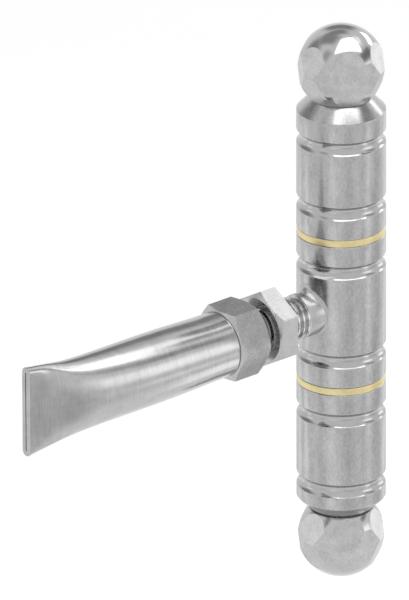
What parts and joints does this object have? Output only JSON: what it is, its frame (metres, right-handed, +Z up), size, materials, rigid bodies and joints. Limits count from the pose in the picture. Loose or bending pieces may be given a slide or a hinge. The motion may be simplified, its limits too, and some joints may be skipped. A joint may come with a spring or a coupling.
{
  "type": "tee hinge",
  "caption": "Barrel hinge with grooved steel knuckles, brass washers, ball nuts, and a screw-adjusted arm ending in a flattened tube.",
  "frame": {"origin": "where the barrel axis crosses the axis of the stud and the arm", "axes": "+Z up along the barrel, the arm points along -X, Y across the flattened end"},
  "size_m": [0.1231, 0.024, 0.1596],
  "materials": {
    "knuckle_steel": "turned satin",
    "pin_steel": "ground",
    "washer_brass": "turned satin",
    "ball_steel": "polished ball with satin flats",
    "stud_steel": "bright rolled thread",
    "nut_steel": "satin flats",
    "tube_steel": "brushed round the tube"
  },
  "bodies": {
    "post_side": {"upper_knuckle": "knuckle_steel", "lower_knuckle": "knuckle_steel", "hinge_pin": "pin_steel", "upper_washer": "washer_brass", "lower_washer": "washer_brass", "upper_ball_nut": "ball_steel", "lower_ball_nut": "ball_steel"},
    "turning_knuckle": {"middle_knuckle": "knuckle_steel", "threaded_stud": "stud_steel"},
    "lock_nut": {"lock_nut": "nut_steel"},
    "arm": {"tube_nut": "nut_steel", "arm_tube": "tube_steel"}
  },
  "joints": [
    {"name": "hinge_turn", "type": "hinge", "parent": "post_side", "child": "turning_knuckle", "pos_m": [0, 0, 0], "axis": [0, 0, 1], "continuous": true},
    {"name": "lock_nut_travel", "type": "slide", "parent": "turning_knuckle", "child": "lock_nut", "axis": [-1, 0, 0], "range_m": [-0.008, 0.0037]},
    {"name": "arm_adjust", "type": "slide", "parent": "turning_knuckle", "child": "arm", "axis": [-1, 0, 0], "range_m": [0, 0.016]}
  ]
}
